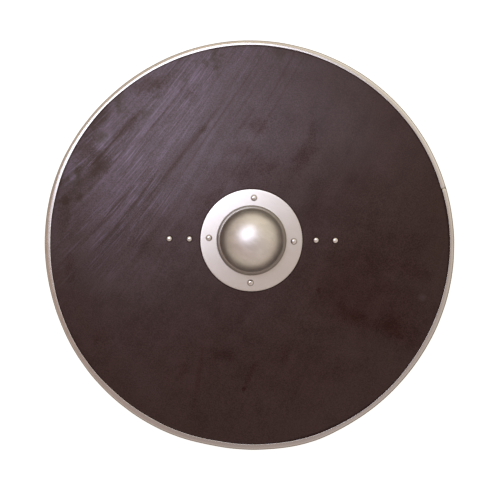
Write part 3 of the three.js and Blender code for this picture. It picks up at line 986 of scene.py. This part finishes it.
def make_camera():
    """A camera straight above the board's middle, with the photograph's scale at the board's front."""
    data = bpy.data.cameras.new("camera")
    data.sensor_width = SENSOR_WIDTH
    picture_width = SHIELD_RADIUS * PICTURE_SIDE / SHIELD_RADIUS_PX
    data.lens = SENSOR_WIDTH * CAMERA_DISTANCE / picture_width
    pixel = picture_width / PICTURE_SIDE
    off_x = (PICTURE_SIDE / 2 - SHIELD_MIDDLE_PX[0]) * pixel
    off_y = (SHIELD_MIDDLE_PX[1] - PICTURE_SIDE / 2) * pixel
    camera = bpy.data.objects.new("camera", data)
    camera.location = (off_x, off_y, BOARD_FRONT + CAMERA_DISTANCE)
    bpy.context.scene.collection.objects.link(camera)
    bpy.context.scene.camera = camera


# The floor lies a hair under the grip's flat, so that the two faces don't coincide
FLOOR_REACH = 6.0
FLOOR_GAP = 0.05 * MM
FLOOR_COLOUR = (0.36, 0.33, 0.29, 1)
FLOOR_LIFT = 0.9


def make_floor():
    """A pale floor that the shield lies on, lifted towards white where it is seen directly."""
    mesh = bpy.data.meshes.new("floor")
    corners = ((-1, -1), (1, -1), (1, 1), (-1, 1))
    mesh.from_pydata([(FLOOR_REACH * x, FLOOR_REACH * y, -FLOOR_GAP) for x, y in corners], [], [(0, 1, 2, 3)])
    material, shader, place = new_material("pale_floor")
    seen = place.node("ShaderNodeLightPath", output="Is Camera Ray")
    connect(
        shader,
        Base_Color=FLOOR_COLOUR,
        Roughness=0.9,
        Specular_IOR_Level=0.0,
        Emission_Color=(1, 1, 1, 1),
        Emission_Strength=seen * FLOOR_LIFT,
    )
    mesh.materials.append(material)
    floor = bpy.data.objects.new("floor", mesh)
    bpy.context.scene.collection.objects.link(floor)
    floor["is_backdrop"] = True


# The key light's direction from the boss in degrees, its distance from the boss in plan, and its height above
# the board
KEY_AZIMUTH = 123.5
KEY_DISTANCE = 0.411
KEY_HEIGHT = 0.898

# The lamp and the glow round it: the size across and along, in metres, and the radiance
KEY_PANELS = {
    "lamp": ((0.20, 0.28), (4.6, 4.9, 6.1)),
    "glow": ((0.56, 0.82), (2.55, 2.7, 3.35)),
}


def make_key_light():
    """A soft lamp and a wide dim glow round it, close by, up and to the left, aimed at the boss. The energy
    of each is its radiance times pi times its area."""
    azimuth = math.radians(KEY_AZIMUTH)
    for name, (size, radiance) in KEY_PANELS.items():
        data = bpy.data.lights.new(name, "AREA")
        data.shape = "RECTANGLE"
        data.size, data.size_y = size
        data.energy = max(radiance) * math.pi * size[0] * size[1]
        data.color = [share / max(radiance) for share in radiance]
        light = bpy.data.objects.new(name, data)
        light.location = (
            BOSS_X + KEY_DISTANCE * math.cos(azimuth),
            BOSS_Y + KEY_DISTANCE * math.sin(azimuth),
            BOARD_FRONT + KEY_HEIGHT,
        )
        light.rotation_euler = (0, math.atan2(KEY_DISTANCE, KEY_HEIGHT), azimuth)
        light.visible_camera = False
        bpy.context.scene.collection.objects.link(light)


# The room's light as a smooth function of direction: a colour for each term
ROOM_EVEN = (0.78, 0.69, 0.60)
ROOM_X = (0.017, 0.002, -0.022)
ROOM_Y = (0.215, 0.205, 0.19)
ROOM_Z = (0.62, 0.485, 0.30)
ROOM_XY = (0.145, 0.149, 0.115)
ROOM_YZ = (-0.187, -0.176, -0.32)
ROOM_XZ = (0.387, 0.438, 0.46)
ROOM_XX_LESS_YY = (-0.123, -0.119, -0.098)
ROOM_ZZ = (-0.785, -0.67, -0.445)
ROOM_LEAST = (0.1, 0.1, 0.1)


def make_world():
    """The room's soft light: warm grey all round, brightest low down at the top and half way up on the right,
    dimmest straight above and at the left, and warmest at the left."""
    world = bpy.data.worlds.new("room")
    world.use_nodes = True
    tree = world.node_tree
    start = Link(tree)
    direction = start.node("ShaderNodeTexCoord", output="Generated")
    x, y, z = (direction.coordinate(axis) for axis in "XYZ")
    terms = (
        (x, ROOM_X),
        (y, ROOM_Y),
        (z, ROOM_Z),
        (x * y, ROOM_XY),
        (y * z, ROOM_YZ),
        (x * z, ROOM_XZ),
        (x * x - y * y, ROOM_XX_LESS_YY),
        (z * z, ROOM_ZZ),
    )
    colour = ROOM_EVEN
    for term, share in terms:
        inputs = {0: term, 1: share, 2: colour}
        colour = direction.node("ShaderNodeVectorMath", inputs, {"operation": "MULTIPLY_ADD"})
    colour = vector_math("MAXIMUM", colour, ROOM_LEAST)
    background = tree.nodes["Background"]
    tree.links.new(colour.socket, background.inputs["Color"])
    background.inputs["Strength"].default_value = 1.0
    bpy.context.scene.world = world


make_camera()
make_board(stained_board())
make_rim(rim_steel())
make_boss(boss_steel())
rivet_material = rivet_steel()
for number, rivet_node in enumerate(rivet_nodes):
    make_rivet(rivet_node, rivet_material, FIRST_RIVET_SEED + number)
make_grip(rubbed_wood())
make_floor()
make_key_light()
make_world()
bpy.context.scene.view_settings.view_transform = "Standard"

low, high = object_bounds()
